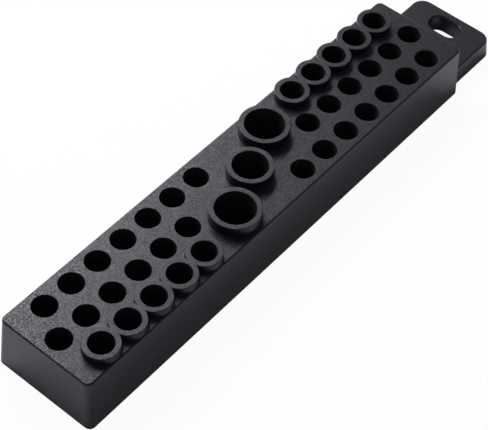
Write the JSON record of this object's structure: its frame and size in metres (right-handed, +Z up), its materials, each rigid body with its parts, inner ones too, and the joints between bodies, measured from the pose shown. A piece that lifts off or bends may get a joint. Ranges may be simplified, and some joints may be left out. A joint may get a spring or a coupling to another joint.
{
  "type": "magnetic bit holder",
  "caption": "Long low moulded rack with rows of round pockets for driver bits, wider raised pockets in the middle, a slotted hang tab at one end and block magnets in a screwed base cover.",
  "frame": {"origin": "middle of the underside, below the middle adapter pocket", "axes": "+X along the rack towards the hang tab, +Y across it towards the long edge with the raised row near the tab, +Z up out of the pockets"},
  "size_m": [0.2075, 0.037, 0.0238],
  "materials": {
    "moulded_body": "black moulded plastic, fine spark-eroded grain on top, satin sides",
    "moulded_cover": "black moulded plastic, fine grain",
    "zinc_plated_screw": "zinc plated",
    "nickel_plated_magnet": "nickel plated"
  },
  "bodies": {
    "root": {"shell": "moulded_body", "base_cover": "moulded_cover", "cover_screws": "zinc_plated_screw", "magnet_1": "nickel_plated_magnet", "magnet_2": "nickel_plated_magnet", "magnet_3": "nickel_plated_magnet", "magnet_4": "nickel_plated_magnet", "magnet_5": "nickel_plated_magnet", "magnet_6": "nickel_plated_magnet", "magnet_7": "nickel_plated_magnet"}
  },
  "joints": []
}
